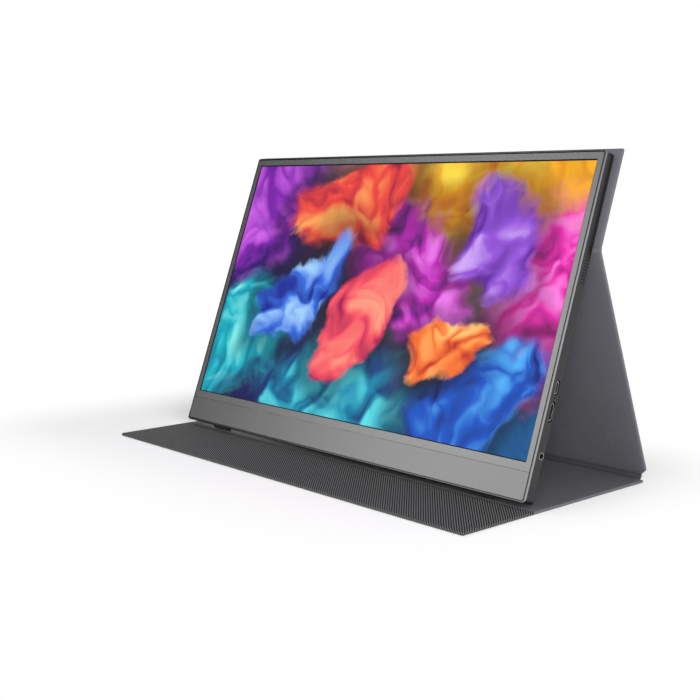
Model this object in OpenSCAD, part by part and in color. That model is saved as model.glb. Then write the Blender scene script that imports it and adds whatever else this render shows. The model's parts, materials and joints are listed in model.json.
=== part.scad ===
// Portable monitor standing in its folding cover. Millimetres, +Z up, the screen faces -Y.
// The origin is on the table, under the middle of the whole object.

/* [Monitor] */
// Width of the monitor
monitor_w = 356; // [348:1:362]
// Height of the monitor
monitor_h = 224.5; // [222:0.5:230]
// Thickness of the monitor
monitor_t = 9; // [9:0.1:11]
// Corner radius of the monitor's outline
corner_r = 3.5; // [2:0.5:5]
// Rounding of the rear housing's back edge
edge_r = 1.8; // [1:0.1:2]
// Width of the lit screen
screen_w = 344.2; // [340:0.1:344.4]
// Height of the lit screen
screen_h = 193.6; // [190:0.1:194]
// Bezel above the lit screen
bezel_top = 6.4; // [6:0.1:8]
// Height of the plate across the chin
chin_h = 19; // [14:0.5:20]
// Thickness of the rear housing's side walls
wall_t = 1.3; // [1.1:0.1:1.4]
// Thickness of the rear housing's back
back_t = 1; // [0.8:0.1:1.2]

/* [Stand] */
// Tilt of the screen above the table, degrees
screen_tilt = 70.4; // [66:0.1:76]
// Height of the cover's fold up the monitor's back
fold_h = 162; // [150:1:170]
// Radius of the round rubber feet
foot_r = 3; // [2.6:0.1:3.2]
// How far the feet stand out below the monitor
foot_out = 1.5; // [1.2:0.1:1.8]
// Depth of the feet's axis behind the monitor's face
foot_depth = 7.5; // [6:0.1:7.5]

/* [Cover] */
// Width of the cover
cover_w = 365; // [364:1:380]
// Thickness of a stiffened cover panel
panel_t = 2; // [1.8:0.1:2.4]
// Thickness of the cloth on each side of a panel's board
cloth_t = 0.5; // [0.4:0.05:0.6]
// Reach of the base in front of the monitor's lower front edge
base_reach = 58.5; // [50:0.5:70]
// Rise of the cover above the monitor's top edge
cover_rise = 4; // [2:0.5:6]
// How far the heel's ends sit in from the cover's sides
heel_inset = 4.3; // [3:0.1:6]

/* [Speakers] */
// Holes in one row of a speaker grille
grille_rows = 12; // [6:1:14]
// Pitch of the speaker holes
grille_pitch = 2.05; // [1.8:0.05:2.2]
// Radius of a speaker hole
grille_hole_r = 0.55; // [0.4:0.05:0.7]

/* [Controls] */
// Travel of the power button
button_travel = 0.4; // [0.3:0.05:0.45]
// Radius of the headphone jack's bore
jack_bore_r = 1.8; // [1.78:0.01:1.85]

/* [Hidden] */
$fn = 64;
eps = 0.01;               // overlap that joins two solids of one piece
gap = 0.3;                // clear gap between pieces that move apart
foot_gap = 0.25;          // the feet glide this far above the base

// Stand: the leg is as long as the monitor below the fold, so the feet keep one height as the stand opens.
// Depth is measured back from the screen's face, height up from the monitor's lower edge.
foot_h = foot_r - foot_out;
foot_z = panel_t + foot_gap + foot_r;
fold_depth = monitor_t + gap + panel_t / 2;
rise_h = fold_h - foot_h;
rise_d = fold_depth - foot_depth;
leg_l = norm([rise_h, rise_d]);
leg_rise = screen_tilt - atan2(rise_d, rise_h);         // the leg's angle above the table
toe_from_foot = 2 * leg_l * cos(leg_rise);
front_to_foot = foot_h * cos(screen_tilt) + foot_depth * sin(screen_tilt);
front_z = foot_z - foot_h * sin(screen_tilt) + foot_depth * cos(screen_tilt);
heel_turn = 180 - leg_rise;                             // the heel's bend from the base into the leg
heel_r = (foot_z - panel_t / 2) / (1 - cos(heel_turn)); // middle of the heel's cloth
toe_from_heel = heel_r * sin(heel_turn);

// Places along Y, with the whole object's depth centred on the origin.
toe_reach = front_to_foot + toe_from_foot;              // the toe's axis behind the front edge
total_d = base_reach + toe_reach + panel_t / 2;
front_y = base_reach - total_d / 2;
toe_y = front_y + toe_reach;
toe_z = foot_z;
heel_y = toe_y - toe_from_heel;
heel_z = panel_t / 2 + heel_r;
base_front = -total_d / 2;
base_rear = heel_y - 2 * gap;

// Screen stack, as depths behind the face.
bezel_t = 0.6;
gasket_t = 0.15;
glass_z = bezel_t + gasket_t;
glass_t = 1;
films_t = 0.35;
guide_t = 0.5;
reflector_t = 0.1;
pan_t = 0.2;
films_z = glass_z + glass_t;
guide_z = films_z + films_t;
reflector_z = guide_z + guide_t;
pan_z = reflector_z + reflector_t;
stack_end = pan_z + pan_t;
glass_margin = 1.9;                      // black rim of the glass past the lit screen
glass_low = 5;                           // wider rim along the lower edge
screen_low = monitor_h - bezel_top - screen_h;
groove = 0.6;                            // dark groove between bezel and housing
seam = 0.2;                              // line between bezel and chin plate
lip_t = 0.9;                             // rib behind the bezel that snaps into the housing
lip_d = 1.6;
rim_chamfer = 0.7;
inner_back = monitor_t - back_t;         // depth of the housing's inner back face
bezel_w = monitor_w - 2 * (wall_t + groove);
bezel_low = wall_t + groove;
bezel_h = monitor_h - 2 * bezel_low;

// Connectors: height up the monitor, depth behind its face.
side_x = monitor_w / 2;
port_depth = 5.4;
jack_h = 30.3;
jack_l = 14;
jack_ring_r = 2.3;
hdmi_h = 57.6;
hdmi_l = 8;
pinhole_h = 66.5;
pinhole_r = 0.5;
micro_h = 72.8;
micro_l = 6;
usb_c_h = 44;
rocker_h = 68;
power_h = 90;
grille_h = 150.5;
grille_cols = 2;
grille_depth = 5.4;

// Boards
pcb_t = 0.8;
pcb_depth = 6.9;                         // rear face of the main board
main_x0 = 84;
main_x1 = side_x - wall_t - 0.4;
main_h0 = 23;
main_h1 = 114;
side_x0 = -side_x + wall_t + 0.4;        // board behind the left side's controls
side_x1 = side_x0 + 18;
side_h0 = 34;
side_h1 = 102;
side_depth = 7;
boss_r = 2.2;
screw_r = 0.8;                           // hole for a screw in a boss
screw_head_r = 1.6;
// Board screws: place across and up, and the depth of the board's back.
board_fixings = [
    [main_x0 + 5, main_h0 + 5, pcb_depth], [main_x0 + 5, main_h1 - 5, pcb_depth],
    [main_x1 - 12, main_h1 - 5, pcb_depth], [main_x1 - 24, main_h0 + 5, pcb_depth],
    [side_x1 - 5, side_h0 + 5, side_depth + pcb_t], [side_x1 - 5, side_h1 - 5, side_depth + pcb_t]
];
rib_h = 1.6;                             // ribs inside the back, and the heights they run at
rib_rows = [128, 158];
driver_z = 3.6;                          // long board under the chin
driver_low = 6.5;
driver_top = 17.5;
cable_z = 7.3;                           // flat cables
cable_t = 0.2;
lead_r = 0.35;
lead_depth = 6.5;
speaker_x = side_x - wall_t - gap;
speaker_w = 20;
speaker_l = 52;
foot_x = 138.5;
foot_l = 19;

// Controls on the left side
flange_x = -side_x + wall_t + gap;       // the power button's flange behind the wall
flange_t = 0.8;
plunger_x = flange_x + flange_t + button_travel + gap;
switch_x = plunger_x + 1;
rocker_r = 20;                           // crown of the rocker's face
rocker_x = -side_x + wall_t + 1;
pivot_r = 0.6;
pivot_l = 3.8;
pivot_room = 0.05;

// Magnets that hold the cover to the monitor's back
magnet_l = 22;
magnet_w = 6;
magnet_t = 0.9;                          // the housing's; the cover's are as thick as its board
magnet_places = [for (x = [-120, -46, 46, 120], h = [180, 212]) [x, h]];

// Cover panels
board_edge = 4;                          // cloth margin round each board
board_t = panel_t - 2 * cloth_t;
cloth_r = 1;                             // corner radius of the cloth
toe_chamfer = [heel_inset, 3.8];         // cut corners where the panels meet the heel
panel_top = monitor_h + cover_rise;
strip_l = 2.5;                           // bare cloth above the leg's board
sharp = [cloth_r, cloth_r];
base_l = base_rear - base_front;
leg_high = leg_l - strip_l;
cove_low = fold_h + sqrt(pow(panel_t / 2 + gap, 2) - pow(panel_t / 2, 2)) - 0.2;
upper_h = panel_top - cove_low;

// ---------- shared shapes ----------

module rounded(w, h, r) { // rectangle on the X axis' middle, from y = 0 up
    translate([-w / 2 + r, 0]) square([w - 2 * r, h]);
    translate([-w / 2, r]) square([w, h - 2 * r]);
    for (x = [-1, 1], y = [r, h - r]) translate([x * (w / 2 - r), y]) circle(r);
}

module slab(w, h, z, t, r = 0) { // plate on the monitor, z and t are depths
    translate([0, 0, -z - t]) linear_extrude(t) {
        if (r > 0) rounded(w, h, r);
        else translate([-w / 2, 0]) square([w, h]);
    }
}

module box(x0, x1, h0, h1, z0, z1) { // block on the monitor between two depths
    translate([x0, h0, -z1]) cube([x1 - x0, h1 - h0, z1 - z0]);
}

module across(x0, len) { // profile drawn as height, then out of the screen, and pushed along X
    translate([x0, 0, 0]) rotate([90, 0, 90]) linear_extrude(len) children();
}

module at_port(h, depth = port_depth) { translate([h, -depth]) children(); }

module stadium(l, w) { // long along the height
    square([l - w, w], center = true);
    for (s = [-1, 1]) translate([s * (l - w) / 2, 0]) circle(w / 2);
}

module on_monitor() { translate([0, front_y, front_z]) rotate([screen_tilt, 0, 0]) children(); }

module on_leg() { translate([0, toe_y, toe_z]) rotate([180 - leg_rise, 0, 0]) children(); }

// ---------- monitor's shell ----------

module edge_profile(w) { // across one way: chamfered rim in front, rounded back edges
    hw = w / 2;
    polygon([
        [-hw, edge_r - monitor_t], [-hw, -rim_chamfer], [rim_chamfer - hw, 0],
        [hw - rim_chamfer, 0], [hw, -rim_chamfer], [hw, edge_r - monitor_t]
    ]);
    translate([edge_r - hw, -monitor_t]) square([w - 2 * edge_r, edge_r + eps]);
    for (s = [-1, 1]) translate([s * (hw - edge_r), edge_r - monitor_t]) circle(edge_r);
}

module housing_body() {
    intersection() {
        slab(monitor_w, monitor_h, 0, monitor_t, corner_r);
        translate([0, monitor_h, 0]) rotate([90, 0, 0]) linear_extrude(monitor_h) edge_profile(monitor_w);
        across(-side_x, monitor_w) translate([monitor_h / 2, 0]) edge_profile(monitor_h);
    }
}

module grille_holes() {
    for (row = [0:grille_rows - 1], col = [0:grille_cols - 1])
        across(side_x - 2 * wall_t, 3 * wall_t)
            at_port(grille_h + (row - (grille_rows - 1) / 2) * grille_pitch,
                    grille_depth + (col - (grille_cols - 1) / 2) * grille_pitch)
                circle(grille_hole_r, $fn = 16);
}

module boss(p) { // carries a board
    translate([p[0], p[1], -inner_back - eps]) cylinder(r = boss_r, h = inner_back - p[2] + eps);
}

module at_fixings() { for (p = board_fixings) translate([p[0], p[1], 0]) children(); }

module rocker_pin(r, l) {
    translate([rocker_x, rocker_h, -port_depth - l / 2]) cylinder(r = r, h = l, $fn = 32);
}

module rocker_ear(s) { // one of two plates on the side wall that hold the rocker's pivot
    z = port_depth + s * (pivot_l / 2 - 0.25);
    box(-side_x + wall_t - eps, rocker_x + 1.2, rocker_h - 1.5, rocker_h + 1.5, z - 0.25, z + 0.25);
}

module rear_housing() {
    color("dimgray") on_monitor() difference() {
        union() {
            difference() {
                housing_body();
                translate([0, wall_t, 0])
                    slab(monitor_w - 2 * wall_t, monitor_h - 2 * wall_t, -1, inner_back + 1, corner_r - wall_t);
            }
            for (p = board_fixings) boss(p);
            // ribs that stiffen the back behind the screen
            for (h = rib_rows) box(-140, 140, h, h + 1, inner_back - rib_h, inner_back + eps);
            box(-0.5, 0.5, 26, 200, inner_back - rib_h, inner_back + eps);
            for (s = [-1, 1]) rocker_ear(s);
        }
        // right side: grille, two sockets, a pin hole and the jack's ring
        grille_holes();
        across(side_x - 2 * wall_t, 3 * wall_t) {
            at_port(micro_h) stadium(9.2, 3.6);
            at_port(hdmi_h) stadium(13, 4);
            at_port(pinhole_h) circle(pinhole_r, $fn = 24);
            at_port(jack_h) circle(jack_ring_r + 0.1);
        }
        // left side: grille, one socket, and the slots of the two controls
        mirror([1, 0, 0]) grille_holes();
        across(-side_x - wall_t, 3 * wall_t) {
            at_port(usb_c_h) stadium(10, 3.8);
            at_port(rocker_h) stadium(12.2, 3);
            at_port(power_h) stadium(12.2, 3);
        }
        // pilot holes of the board screws
        at_fixings() translate([0, 0, -inner_back - 0.4]) cylinder(r = screw_r, h = monitor_t, $fn = 24);
        // bore of the rocker's pivot, through both ears
        rocker_pin(pivot_r + pivot_room, pivot_l + 2);
        // seats of the feet
        for (s = [-1, 1]) foot_seat(s * foot_x, gap / 3);
    }
}

module foot_seat(x, room) { // pocket in the lower wall, or the foot's root when room is 0
    translate([x - foot_l / 2 + 1 - room, -foot_out - 1, -foot_depth - 1 - room])
        cube([foot_l - 2 + 2 * room, foot_out + 1 + wall_t * 0.6, 2 + 2 * room]);
}

module rubber_feet() {
    color([0.08, 0.08, 0.09]) on_monitor() for (s = [-1, 1]) {
        intersection() {
            translate([s * foot_x - foot_l / 2, foot_h, -foot_depth])
                rotate([0, 90, 0]) cylinder(r = foot_r, h = foot_l);
            box(-side_x, side_x, -foot_out - 1, 0, foot_depth - 3, monitor_t - 0.1);
        }
        intersection() {
            foot_seat(s * foot_x, 0);
            box(-side_x, side_x, -eps, wall_t, 0, monitor_t);
        }
    }
}

module front_bezel() { // frame of three thin sides, with a narrow bar above the chin plate
    low = chin_h + seam;
    color([0.42, 0.42, 0.43]) on_monitor() difference() {
        union() {
            translate([0, bezel_low, 0]) slab(bezel_w, bezel_h, 0, bezel_t, corner_r - bezel_low);
            // snap rib along the top and the sides
            translate([0, bezel_low, 0]) slab(bezel_w, bezel_h, bezel_t - eps, lip_d, corner_r - bezel_low);
        }
        translate([0, screen_low, 0]) slab(screen_w, screen_h, -1, monitor_t);
        box(-side_x, side_x, -1, low, -1, monitor_t);
        // the rib is hollow inside, so the glass and its pan fit behind the frame
        box(-bezel_w / 2 + lip_t, bezel_w / 2 - lip_t, -1, monitor_h - bezel_low - lip_t, bezel_t, monitor_t);
    }
}

module chin_plate() {
    color([0.36, 0.36, 0.37]) on_monitor() {
        difference() {
            translate([0, bezel_low, 0]) slab(bezel_w, bezel_h, 0, bezel_t, corner_r - bezel_low);
            box(-side_x, side_x, chin_h, monitor_h, -1, monitor_t);
        }
        // rib and four hooks that hold the plate in the housing
        box(-bezel_w / 2 + 4, bezel_w / 2 - 4, bezel_low, bezel_low + lip_t, bezel_t - eps, bezel_t + lip_d);
        for (x = [-150, -50, 50, 150])
            box(x - 4, x + 4, bezel_low, bezel_low + lip_t + 0.8, bezel_t + lip_d - eps, bezel_t + lip_d + 0.8);
    }
}

module bezel_gasket() { // thin black foam behind the bezel's edge
    w = screen_w + 2 * glass_margin;
    color("black") on_monitor() difference() {
        translate([0, screen_low - 4, 0]) slab(w, screen_h + 4 + glass_margin, bezel_t, gasket_t);
        translate([0, screen_low, 0]) slab(screen_w, screen_h, 0, monitor_t);
    }
}

// ---------- screen ----------

module stack_slab(z, t, side, top, low) { // layer of the screen, larger than the lit area by the margins
    translate([0, screen_low - low, 0]) slab(screen_w + 2 * side, screen_h + top + low, z, t);
}

module lcd_glass() {
    color("midnightblue") on_monitor() stack_slab(glass_z, glass_t, glass_margin, glass_margin, glass_low);
}

module optical_films() { color("white") on_monitor() stack_slab(films_z, films_t, 1.4, 1.4, 1.4); }

module light_guide() { color("aliceblue") on_monitor() stack_slab(guide_z, guide_t, 1.2, 1.2, 1.2); }

module reflector_sheet() { color("silver") on_monitor() stack_slab(reflector_z, reflector_t, 1.4, 1.4, 3); }

module led_strip() { // flexible strip with a row of small lamps along the light guide's lower edge
    n = 36;
    low = screen_low - 2.9;
    high = screen_low - 2.3;
    color("gold") on_monitor() {
        box(-screen_w / 2, screen_w / 2, low, high, guide_z + 0.02, reflector_z - 0.02);
        for (i = [0:n - 1]) {
            x = (i - (n - 1) / 2) * screen_w / n;
            box(x - 1.5, x + 1.5, high - eps, high + 1, guide_z + 0.05, reflector_z - 0.05);
        }
    }
}

module panel_frame() { // pressed metal pan that holds the stack
    w = screen_w + 2 * glass_margin + 0.6;
    h = screen_h + glass_low + glass_margin + 0.6;
    low = screen_low - glass_low - 0.3;
    color("lightgray") on_monitor() difference() {
        translate([0, low, 0]) slab(w, h, glass_z + 0.2, stack_end - glass_z - 0.2);
        translate([0, low + 0.2, 0]) slab(w - 0.4, h - 0.4, 0, pan_z);
        // weight-saving windows
        for (i = [-3:3]) translate([i * 44, screen_low + 40, 0]) slab(30, 120, 0, monitor_t, 4);
    }
}

module foam_pads() { // foam between the screen's pan and the housing's ribs
    color("dimgray") on_monitor() for (x = [-110, -40, 40, 110], h = rib_rows)
        box(x - 15, x + 15, h - 2, h + 3, stack_end, inner_back - rib_h);
}

module driver_board() { // long thin board under the chin, with its chips and small parts
    back = driver_z + pcb_t;
    color("darkgreen") on_monitor() {
        box(-118, 60, driver_low, driver_top, driver_z, back);
        for (x = [-95, -40, 15]) box(x, x + 12, 8.5, 15.5, back - eps, back + 1);
        for (i = [0:9]) box(-110 + i * 17, -107 + i * 17, 7.2, 8.2, back - eps, back + 0.5);
    }
}

module panel_ribbons() { // flexible strips that fold from the glass's lower edge back to the driver board
    low = screen_low - glass_low;
    front = glass_z + 0.03;
    t = 0.15;
    back = driver_z - 0.02;
    color("orange") on_monitor() for (x = [-104, -64, -24, 16])
        across(x, 26) polygon([
            [low, -front], [low - 0.9, -front], [low - 0.9, t - back], [driver_top - 0.6, t - back],
            [driver_top - 0.6, -back], [low - 0.9 + t, -back], [low - 0.9 + t, -front - t], [low, -front - t]
        ]);
}

// ---------- electronics ----------

module main_board() {
    color("darkgreen") on_monitor() difference() {
        box(main_x0, main_x1, main_h0, main_h1, pcb_depth - pcb_t, pcb_depth);
        // notches for the sockets that sit in the board's edge
        box(main_x1 - jack_l - 1.5, main_x1 + 1, jack_h - 4, jack_h + 4, 0, monitor_t);
        box(main_x1 - hdmi_l - 0.5, main_x1 + 1, hdmi_h - 6, hdmi_h + 6, 0, monitor_t);
        box(main_x1 - micro_l - 0.5, main_x1 + 1, micro_h - 4.2, micro_h + 4.2, 0, monitor_t);
        screw_holes();
    }
}

module screw_holes() {
    at_fixings() translate([0, 0, -monitor_t]) cylinder(r = screw_r + 0.2, h = monitor_t, $fn = 24);
}

module board_parts() { // chips, coils and small parts on the main board's front side
    top = pcb_depth - pcb_t;
    color([0.12, 0.12, 0.13]) on_monitor() {
        box(132, 141, 44, 53, top - 1.2, top);
        box(118, 124, 92, 98, top - 1, top);
        box(96, 104, 84, 92, top - 1.2, top);
        for (h = [30, 38, 46]) box(92, 97, h, h + 5, top - 1.8, top);
        for (i = [0:5]) box(104 + i * 6, 106 + i * 6, 34, 35.2, top - 0.6, top);
        for (x = [146, 152], h = [100, 107]) translate([x, h, -top]) cylinder(r = 2, h = 2.2, $fn = 32);
        // plug that takes the display cable
        box(88, 92, 58, 74, top - 1.4, top);
    }
}

module shield_can() {
    top = pcb_depth - pcb_t;
    color("silver") on_monitor() difference() {
        box(100, 128, 40, 76, top - 2, top);
        box(100.2, 127.8, 40.2, 75.8, top - 1.8, monitor_t);
        for (i = [0:3], j = [0:4])
            translate([104 + i * 6.5, 45 + j * 6.5, -top]) cylinder(r = 0.8, h = 3, $fn = 16);
    }
}

module display_cable() { // flat cable from the driver board to the main board
    w = 12;
    high = 72;
    z = driver_z + 0.5;
    color("ivory") on_monitor() {
        box(48, 48 + w, driver_top, high, z, z + cable_t);
        box(48, 86, high - w, high, z, z + cable_t);
        box(86 - cable_t, 86, high - w, high, z, z + 1.1);
        box(86 - cable_t, 88, high - w, high, z + 1.1 - cable_t, z + 1.1);
    }
}

module insulation_sheet() { // stuck to the pan over the main board
    color("black") on_monitor() box(90, 168, 46, 112, stack_end, stack_end + 0.15);
}

module shell_tube(x0, len) { // thin metal tube round a socket's outline, closed at the back
    across(x0, len) difference() { offset_outline(0.3) children(); children(); }
    across(x0, 0.3) offset_outline(0.3) children();
}

module offset_outline(t) { // grows a small outline by moving copies of it round a square
    for (x = [-t, t], y = [-t, t]) translate([x, y]) children();
    children();
}

module socket_outline(h, half_w, half_t, low) { // flat along one side, with cut corners on the other
    at_port(h) polygon([
        [-half_w, half_t], [half_w, half_t], [half_w, -0.15], [low, -half_t], [-low, -half_t], [-half_w, -0.15]
    ]);
}

module solder_tabs(x, h, half_w) { // feet of a socket on the main board's front side
    top = pcb_depth - pcb_t;
    for (s = [-1, 1])
        box(x, x + 3, h + s * (half_w + 0.9) - 1, h + s * (half_w + 0.9) + 1, top - 0.3, top);
}

module mini_hdmi_port() {
    l = hdmi_l;
    x0 = side_x - 0.5 - l;
    color("silver") on_monitor() {
        shell_tube(x0, l) socket_outline(hdmi_h, 5.2, 1.2, 4);
        solder_tabs(x0 + 1, hdmi_h, 5);
        // flared lips
        across(side_x - 0.8, 0.3) at_port(hdmi_h) {
            translate([-4.4, 1.45]) square([8.8, 0.3]);
            translate([-3.4, -1.75]) square([6.8, 0.3]);
        }
        across(x0 + eps, l - 1.5) at_port(hdmi_h) translate([-4, 0.1]) square([8, 0.5]);
    }
}

module micro_usb_port() {
    l = micro_l;
    x0 = side_x - 0.5 - l;
    color("silver") on_monitor() {
        shell_tube(x0, l) socket_outline(micro_h, 3.4, 0.9, 2.6);
        solder_tabs(x0 + 1, micro_h, 3.2);
        across(side_x - 0.9, 0.4) at_port(micro_h) {
            translate([-3.2, 1.15]) square([6.4, 0.35]);
            for (s = [-1, 1]) translate([s * 3.75 - 0.2, -0.2]) square([0.4, 1.2]);
        }
        across(x0 + eps, l - 1.4) at_port(micro_h) translate([-2.4, -0.05]) square([4.8, 0.5]);
    }
}

module usb_c_port() {
    l = 7;
    color("silver") on_monitor() difference() {
        across(0.5 - side_x, l) at_port(usb_c_h) stadium(8.94, 3.16);
        difference() {
            across(-side_x, l) at_port(usb_c_h) stadium(8.34, 2.56);
            across(1.5 - side_x, l) at_port(usb_c_h) square([6.6, 0.7], center = true);
        }
    }
}

module headphone_jack() { // body with its bored barrel, flush with the side wall
    x1 = side_x - wall_t - 0.2;
    r = jack_ring_r;
    color([0.1, 0.1, 0.11]) on_monitor() difference() {
        union() {
            box(x1 - jack_l, x1, jack_h - 3.2, jack_h + 3.2, port_depth - r, port_depth + r);
            across(x1 - eps, side_x - x1 + 0.1) at_port(jack_h) circle(r);
        }
        across(side_x + 0.1 - jack_l, jack_l + 1) at_port(jack_h) circle(jack_bore_r);
    }
}

module status_light() { // lamp on the board and its clear pipe behind the pin hole
    x = side_x - wall_t - 3.2;
    color("paleturquoise") on_monitor() {
        across(x, 3) at_port(pinhole_h) circle(0.6, $fn = 32);
        box(x - 1.2, x + eps, pinhole_h - 1.2, pinhole_h + 1.2, 4.6, pcb_depth - pcb_t);
    }
}

module side_board() {
    color("darkgreen") on_monitor() difference() {
        box(side_x0, side_x1, side_h0, side_h1, side_depth, side_depth + pcb_t);
        box(side_x0 - 1, rocker_x + 1.5, rocker_h - 2, rocker_h + 2, 0, monitor_t);
        screw_holes();
    }
}

module button_switches() { // four-legged switches behind the two controls
    color("gainsboro") on_monitor() {
        for (h = [power_h, rocker_h - 3.4, rocker_h + 3.4]) {
            box(switch_x, switch_x + 3, h - 1.6, h + 1.6, port_depth - 1.3, side_depth);
            across(plunger_x, 1 + eps) at_port(h) circle(0.7, $fn = 24);
        }
    }
}

module side_cable() { // flat cable along the chin from the side board to the main board
    color("ivory") on_monitor() {
        box(-170, -164, 20.6, side_h0, cable_z, cable_z + cable_t);
        box(-170, 94, 18.2, 20.6 + eps, cable_z, cable_z + cable_t);
        box(88, 94, 20.6, main_h0 + 1, cable_z, cable_z + cable_t);
        box(88, 94, main_h0 + 1 - cable_t, main_h0 + 1, pcb_depth, cable_z + eps);
    }
}

module power_button() { // cap with its flange behind the wall
    color([0.3, 0.3, 0.31]) on_monitor() {
        across(-side_x - 0.5, 0.5 + wall_t + gap + eps) at_port(power_h) stadium(11.5, 2.3);
        across(flange_x, flange_t) at_port(power_h) stadium(13, 2.8);
    }
}

module menu_rocker() { // crowned cap on a round pivot
    color([0.3, 0.3, 0.31]) on_monitor() {
        intersection() {
            across(-side_x - 0.6, wall_t + 1.4) at_port(rocker_h) stadium(11.2, 2.3);
            translate([-side_x - 0.6 + rocker_r, rocker_h, -monitor_t])
                cylinder(r = rocker_r, h = monitor_t, $fn = 96);
        }
        rocker_pin(0.9, 2.3);
        rocker_pin(pivot_r, pivot_l);
    }
}

module speaker() { // slim box speaker behind the right grille
    half_l = speaker_l / 2;
    front = 3.5;
    color("black") on_monitor() difference() {
        box(speaker_x - speaker_w, speaker_x, grille_h - half_l, grille_h + half_l, front, inner_back - 0.2);
        // sound slot towards the grille, and the dishes over the two drivers
        box(speaker_x - 1.2, speaker_x + 1, grille_h - 13, grille_h + 13, front + 0.5, inner_back - 0.8);
        for (s = [-1, 1])
            translate([speaker_x - speaker_w / 2, grille_h + s * 12, -front - 0.5]) cylinder(r = 7, h = 2);
    }
}

module speaker_right() speaker();

module speaker_left() mirror([1, 0, 0]) speaker();

module lead_up(x, h0, h1) {
    translate([x, h0, -lead_depth]) rotate([-90, 0, 0]) cylinder(r = lead_r, h = h1 - h0, $fn = 16);
}

module lead_across(x0, x1, h) {
    translate([x0, h, -lead_depth]) rotate([0, 90, 0]) cylinder(r = lead_r, h = x1 - x0, $fn = 16);
}

module lead_corner(x, h) { translate([x, h, -lead_depth]) sphere(lead_r, $fn = 16); }

module speaker_leads() { // the short right lead, and the long left one along the chin
    end_x = main_x0 + 12;
    low = main_h0 - 1.5;
    turn_x = -150;
    turn_h = 130;
    color("red") on_monitor() {
        lead_up(166, main_h1, grille_h - speaker_l / 2);
        lead_up(end_x, low, main_h0);
        lead_corner(end_x, low);
        lead_across(turn_x, end_x, low);
        lead_corner(turn_x, low);
        lead_up(turn_x, low, turn_h);
        lead_corner(turn_x, turn_h);
        lead_across(speaker_w - speaker_x, turn_x, turn_h);
    }
}

module board_screws() {
    color("silver") on_monitor() for (p = board_fixings) {
        front = p[2] - pcb_t;
        translate([p[0], p[1], -inner_back - 0.2])
            cylinder(r = screw_r - 0.05, h = inner_back + 0.4 - front, $fn = 24);
        translate([p[0], p[1], -front]) cylinder(r = screw_head_r, h = 0.8, $fn = 24);
    }
}

module magnets(z, t) {
    for (p = magnet_places)
        box(p[0] - magnet_l / 2, p[0] + magnet_l / 2, p[1] - magnet_w / 2, p[1] + magnet_w / 2, z, z + t);
}

module housing_magnets() { color("lightsteelblue") on_monitor() magnets(inner_back - magnet_t, magnet_t); }

// ---------- cover ----------
// Every panel is a skin that wraps a board, with a lining on the side towards the monitor.
// In a panel's own frame y runs along it and the mid plane is z = 0, with the lining above.

module cloth_outline(w, l, cut0, cut1) { // corners cut at y = 0 and y = l where the cloth folds
    hw = w / 2;
    polygon([
        [-hw + cut0[0], 0], [hw - cut0[0], 0], [hw, cut0[1]],
        [hw, l - cut1[1]], [hw - cut1[0], l], [-hw + cut1[0], l], [-hw, l - cut1[1]], [-hw, cut0[1]]
    ]);
}

module board_outline(w, l, at0, at1) { // the board's place, with rounded corners
    translate([0, at0]) rounded(w - 2 * board_edge, l - at0 - at1, 2);
}

module skin_layer(w, l, cut0, cut1, at0, at1) { // outer cloth with its wrapped edge, hollow for the board
    difference() {
        translate([0, 0, -panel_t / 2]) linear_extrude(panel_t - cloth_t) cloth_outline(w, l, cut0, cut1);
        translate([0, 0, cloth_t - panel_t / 2]) linear_extrude(panel_t) board_outline(w, l, at0, at1);
    }
}

module board_layer(w, l, at0, at1) {
    translate([0, 0, cloth_t - panel_t / 2]) linear_extrude(board_t) board_outline(w, l, at0, at1);
}

module lining_layer(w, l, cut0, cut1) {
    translate([0, 0, panel_t / 2 - cloth_t]) linear_extrude(cloth_t) cloth_outline(w, l, cut0, cut1);
}

module on_base() { translate([0, base_front, panel_t / 2]) children(); }

module base_skin() {
    color([0.3, 0.3, 0.31]) on_base() skin_layer(cover_w, base_l, sharp, sharp, board_edge, board_edge);
}

module base_board() { color("tan") on_base() board_layer(cover_w, base_l, board_edge, board_edge); }

module base_lining() { color([0.34, 0.34, 0.35]) on_base() lining_layer(cover_w, base_l, sharp, sharp); }

module leg_skin() { // its lower end is a round nose on the toe's axis
    color([0.3, 0.3, 0.31]) on_leg() {
        skin_layer(cover_w, leg_high, toe_chamfer, sharp, board_edge, board_edge - strip_l);
        rotate([0, 90, 0]) intersection() {
            translate([0, 0, heel_inset - cover_w / 2]) cylinder(r = panel_t / 2, h = cover_w - 2 * heel_inset);
            translate([-panel_t, -panel_t, -cover_w]) cube([2 * panel_t, panel_t, 2 * cover_w]);
        }
    }
}

module leg_board() { color("tan") on_leg() board_layer(cover_w, leg_high, board_edge, board_edge - strip_l); }

module leg_lining() { color([0.34, 0.34, 0.35]) on_leg() lining_layer(cover_w, leg_high, toe_chamfer, sharp); }

module fold_strip() { // bare cloth above the leg's board, round on the fold's axis
    w = cover_w;
    color([0.27, 0.27, 0.28]) on_leg() {
        translate([-w / 2, leg_high, -panel_t / 2]) cube([w, strip_l, panel_t]);
        translate([-w / 2, leg_l, 0]) rotate([0, 90, 0]) cylinder(r = panel_t / 2, h = w);
    }
}

module on_upper() { // the upper panel lies on the monitor's back, its lining towards it
    on_monitor() translate([0, 0, -fold_depth]) children();
}

module fold_cove() { // room for the fold's round nose
    translate([-cover_w, fold_h, 0]) rotate([0, 90, 0]) cylinder(r = panel_t / 2 + gap, h = 2 * cover_w);
}

module panel_skin() {
    color([0.3, 0.3, 0.31]) on_upper() difference() {
        translate([0, cove_low, 0]) skin_layer(cover_w, upper_h, sharp, sharp, board_edge, board_edge);
        fold_cove();
    }
}

module panel_board() {
    color("tan") on_upper() difference() {
        translate([0, cove_low, 0]) board_layer(cover_w, upper_h, board_edge, board_edge);
        translate([0, 0, fold_depth]) magnets(fold_depth - board_t, 2 * board_t);
    }
}

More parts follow.
